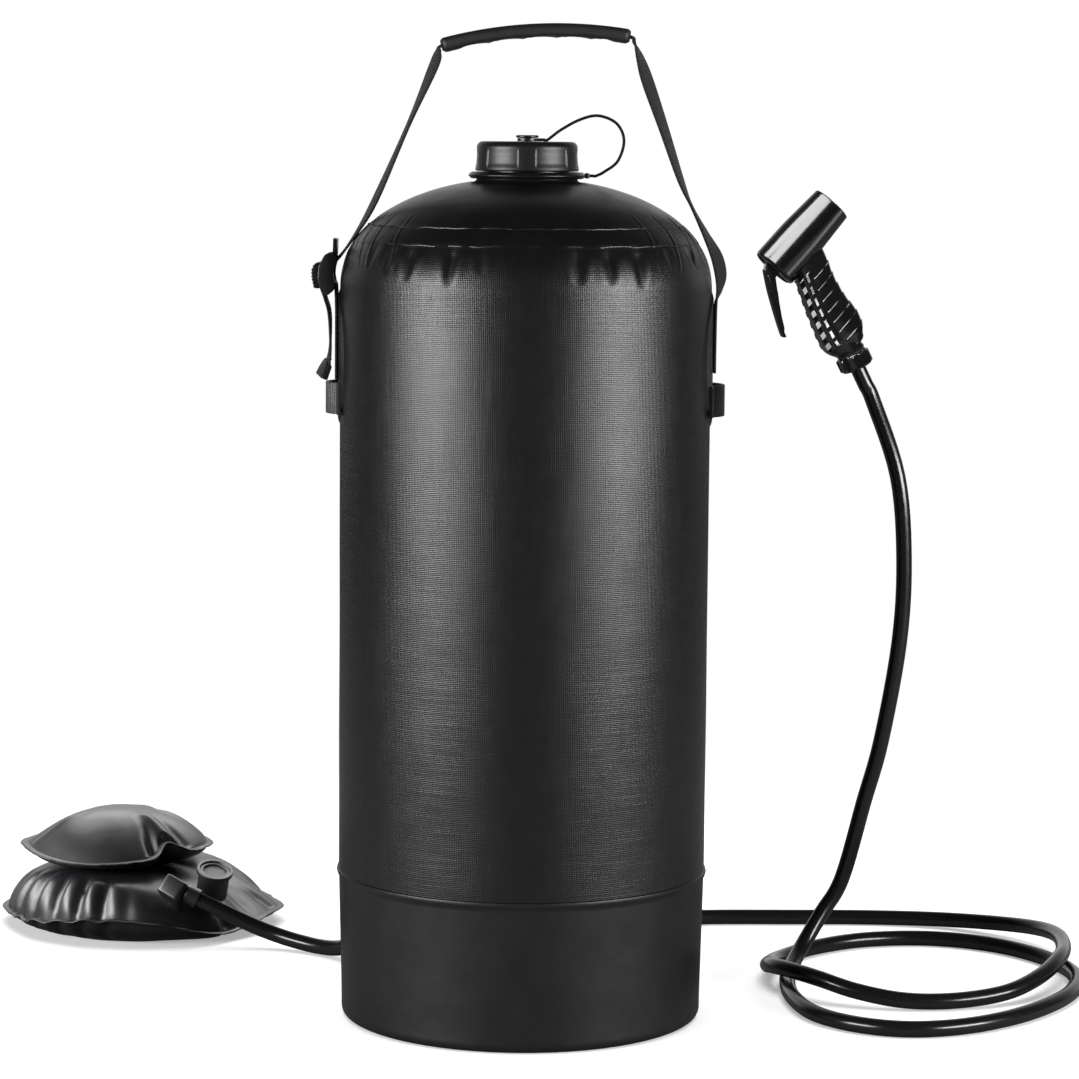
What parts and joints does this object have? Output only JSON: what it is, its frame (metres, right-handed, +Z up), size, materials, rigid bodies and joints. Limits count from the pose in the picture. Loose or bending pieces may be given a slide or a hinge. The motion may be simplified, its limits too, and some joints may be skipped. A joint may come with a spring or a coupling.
{
  "type": "camp shower pump",
  "caption": "Pressure camp shower: tall round water bag with screw cap and carry strap, pillow foot pump, pump hose, long looped shower hose and trigger spray gun.",
  "frame": {"origin": "on the floor under the middle of the water bag", "axes": "+Z up, +X from the pump's side to the spray gun's side, -Y the front in the picture"},
  "size_m": [0.7078, 0.4491, 0.5973],
  "materials": {
    "coated_fabric": "woven emboss, satin",
    "smooth_sheet": "smooth satin",
    "moulded_gloss": "glossy moulding",
    "moulded_satin": "satin moulding",
    "webbing": "woven ribs",
    "grip_rubber": "matt",
    "seal_rubber": "matt",
    "hose_rubber": "smooth gloss",
    "foam": "open cell",
    "brass": "turned",
    "steel": "bright"
  },
  "bodies": {
    "bag": {"bag_wall": "coated_fabric", "bag_top": "smooth_sheet", "bag_base": "smooth_sheet", "neck_flange": "moulded_gloss", "filler_neck": "moulded_gloss", "tether_ring": "moulded_gloss", "cap_tether": "moulded_satin", "left_patch": "coated_fabric", "right_patch": "coated_fabric", "left_keeper_loop": "webbing", "right_keeper_loop": "webbing", "left_anchor": "webbing", "strap_buckle": "moulded_gloss", "air_inlet": "moulded_satin", "water_outlet": "moulded_satin", "port_nuts": "moulded_satin", "check_valve": "seal_rubber", "shower_hose": "hose_rubber", "pump_hose": "hose_rubber", "pump_floor_panel": "smooth_sheet", "pump_lower_top": "smooth_sheet", "pump_lower_foam": "foam", "pump_link_ring": "moulded_satin", "pump_upper_bottom": "smooth_sheet", "pump_upper_foam": "foam", "intake_collar": "moulded_satin", "outlet_elbow": "moulded_satin", "gun_body": "moulded_gloss", "trigger_pin": "steel", "valve_spring": "steel", "spring_retainer": "moulded_satin", "spray_plate": "moulded_gloss", "hose_tail": "moulded_gloss", "tail_washer": "seal_rubber"},
    "cap_swivel": {"tether_eye": "moulded_satin"},
    "cap": {"cap_shell": "moulded_gloss", "cap_lid": "moulded_gloss", "cap_gasket": "seal_rubber", "cap_stud": "moulded_gloss"},
    "handle": {"hand_grip": "grip_rubber", "carry_strap": "webbing"},
    "trigger": {"trigger": "moulded_gloss"},
    "valve": {"valve_spool": "brass", "spool_seals": "seal_rubber"},
    "nut": {"hose_nut": "moulded_gloss"},
    "pump_top": {"pump_upper_top": "smooth_sheet"},
    "flap": {"intake_flap": "seal_rubber"}
  },
  "joints": [
    {"name": "cap_lift", "type": "slide", "parent": "bag", "child": "cap_swivel", "axis": [0, 0, 1], "range_m": [0, 0.012], "deforming": ["cap_tether"]},
    {"name": "cap_turn", "type": "hinge", "parent": "cap_swivel", "child": "cap", "pos_m": [0, 0, 0.52], "axis": [0, 0, 1], "range_deg": [0, 720]},
    {"name": "handle_swing", "type": "hinge", "parent": "bag", "child": "handle", "pos_m": [0, 0, 0.434], "axis": [1, 0, 0], "range_deg": [-40, 40], "deforming": ["carry_strap"]},
    {"name": "trigger_squeeze", "type": "hinge", "parent": "bag", "child": "trigger", "pos_m": [0.15226, 0.11177, 0.45723], "axis": [0.1736, -0.9848, 0], "range_deg": [0, 18], "stiffness_Nm_per_rad": 0.4, "springref_deg": -8.59},
    {"name": "valve_push", "type": "slide", "parent": "bag", "child": "valve", "axis": [0.659, 0.1162, 0.7431], "range_m": [0, 0.0028], "deforming": ["valve_spring"]},
    {"name": "nut_turn", "type": "hinge", "parent": "bag", "child": "nut", "pos_m": [0.20734, 0.12148, 0.39122], "axis": [0.4363, 0.0769, -0.8965], "continuous": true},
    {"name": "pump_press", "type": "slide", "parent": "bag", "child": "pump_top", "axis": [0, 0, -1], "range_m": [0, 0.02], "stiffness_N_per_m": 3000, "deforming": ["pump_upper_bottom", "pump_upper_foam", "pump_lower_top", "pump_lower_foam"]},
    {"name": "flap_drop", "type": "slide", "parent": "bag", "child": "flap", "axis": [-0.1632, 0.342, -0.9254], "range_m": [0, 0.0018], "stiffness_N_per_m": 20, "springref_m": -0.001}
  ],
  "couplings": [
    {"joint": "cap_lift", "follows": "cap_turn", "m_per_rad": 0.00095493},
    {"joint": "valve_push", "follows": "trigger_squeeze", "m_per_rad": 0.0087}
  ]
}
